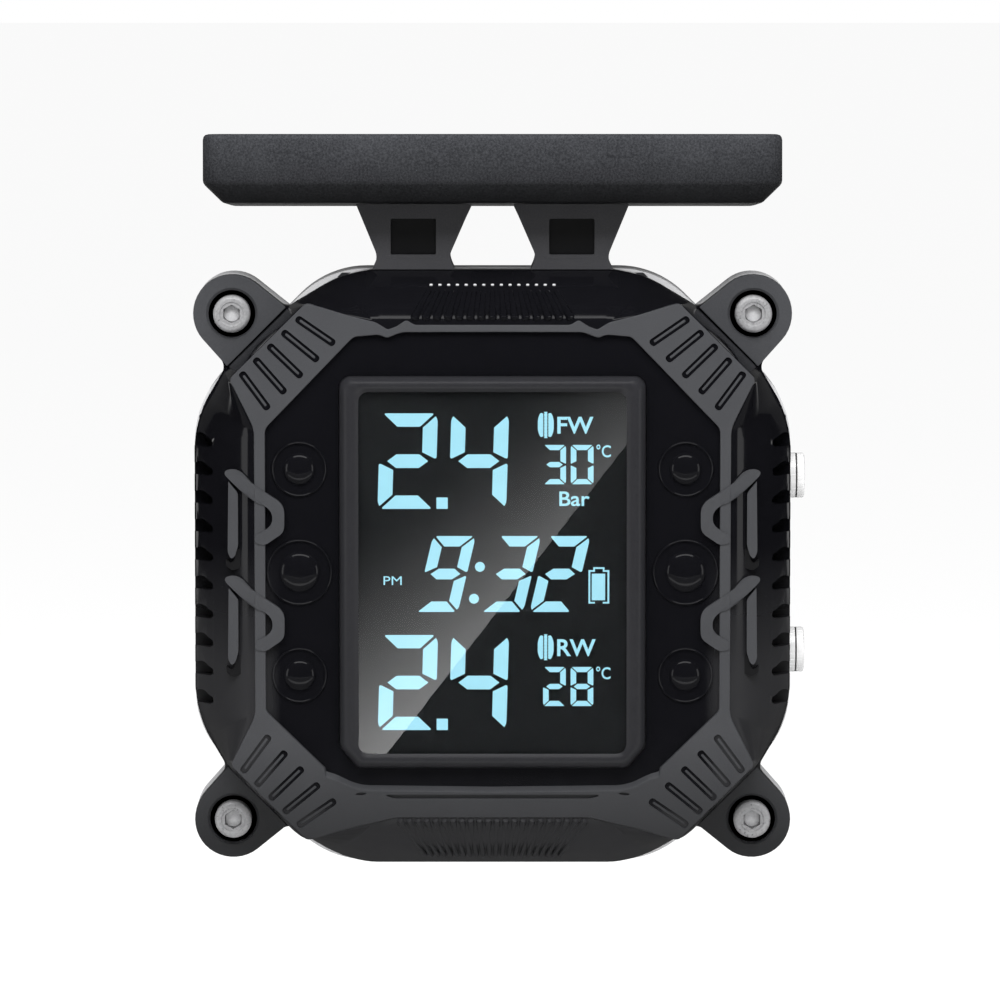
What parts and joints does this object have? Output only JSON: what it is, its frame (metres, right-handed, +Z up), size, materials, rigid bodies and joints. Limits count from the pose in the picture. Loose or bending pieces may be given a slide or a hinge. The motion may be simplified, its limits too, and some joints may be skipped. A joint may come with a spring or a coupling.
{
  "type": "tire pressure monitor",
  "caption": "Square sealed gauge with a lit display, bolted corner ears, side push buttons and a solar panel tray on two posts above it.",
  "frame": {"origin": "centre of the rear mounting face", "axes": "+X to the viewer's right, +Z up, the display faces -Y, so +Y leaves the rear mounting face"},
  "size_m": [0.0744, 0.0323, 0.0891],
  "materials": {
    "cover_black": "gloss black moulding, satin on the ears, corner pads and ridges",
    "shell_silver": "silver painted moulding",
    "seal_rubber": "silicone seal",
    "insert_brass": "turned brass insert",
    "bolt_steel": "stainless steel",
    "button_steel": "turned, brushed metal",
    "lens_clear": "clear dark-tinted window",
    "lcd_glass": "dark negative liquid crystal panel",
    "light_guide": "white light guide",
    "carrier_white": "white carrier",
    "board_green": "circuit board",
    "chip_black": "moulded chip packages",
    "antenna_copper": "copper wire",
    "pouch_silver": "laminated pouch",
    "foam_pad": "adhesive foam",
    "socket_steel": "pressed steel shell",
    "port_rubber": "soft black rubber",
    "switch_black": "switch body",
    "post_black": "satin black moulding",
    "tray_black": "satin black moulding",
    "cell_blue": "silicon solar cell",
    "panel_clear": "clear cast panel cover",
    "lead_jacket": "insulated lead"
  },
  "bodies": {
    "housing": {"front_cover": "cover_black", "rear_shell": "shell_silver", "cover_seal": "seal_rubber", "mount_inserts": "insert_brass", "ear_bolts": "bolt_steel", "ear_nuts": "insert_brass", "display_bezel": "cover_black", "display_lens": "lens_clear", "lcd_panel": "lcd_glass", "backlight": "light_guide", "lcd_carrier": "carrier_white", "main_board": "board_green", "board_screws": "bolt_steel", "board_chips": "chip_black", "receiver_antenna": "antenna_copper", "battery": "pouch_silver", "battery_pad": "foam_pad", "charge_socket": "socket_steel", "port_cover_anchor": "port_rubber", "button_switches": "switch_black", "left_post": "post_black", "right_post": "post_black", "post_screws": "bolt_steel", "tray_screws": "bolt_steel", "solar_tray": "tray_black", "solar_cell": "cell_blue", "solar_glass": "panel_clear", "solar_leads": "lead_jacket"},
    "upper_button": {"upper_button_cap": "button_steel", "upper_button_ring": "seal_rubber", "upper_switch_plunger": "switch_black"},
    "lower_button": {"lower_button_cap": "button_steel", "lower_button_ring": "seal_rubber", "lower_switch_plunger": "switch_black"},
    "port_cover": {"charge_port_cover": "port_rubber"}
  },
  "joints": [
    {"name": "upper_button_press", "type": "slide", "parent": "housing", "child": "upper_button", "axis": [-1, 0, 0], "range_m": [0, 0.0005], "stiffness_N_per_m": 500, "springref_m": -0.0002},
    {"name": "lower_button_press", "type": "slide", "parent": "housing", "child": "lower_button", "axis": [-1, 0, 0], "range_m": [0, 0.0005], "stiffness_N_per_m": 500, "springref_m": -0.0002},
    {"name": "port_cover_hinge", "type": "hinge", "parent": "housing", "child": "port_cover", "pos_m": [-0.0073, -0.0096, -0.0362], "axis": [0, 1, 0], "range_deg": [0, 120]}
  ]
}
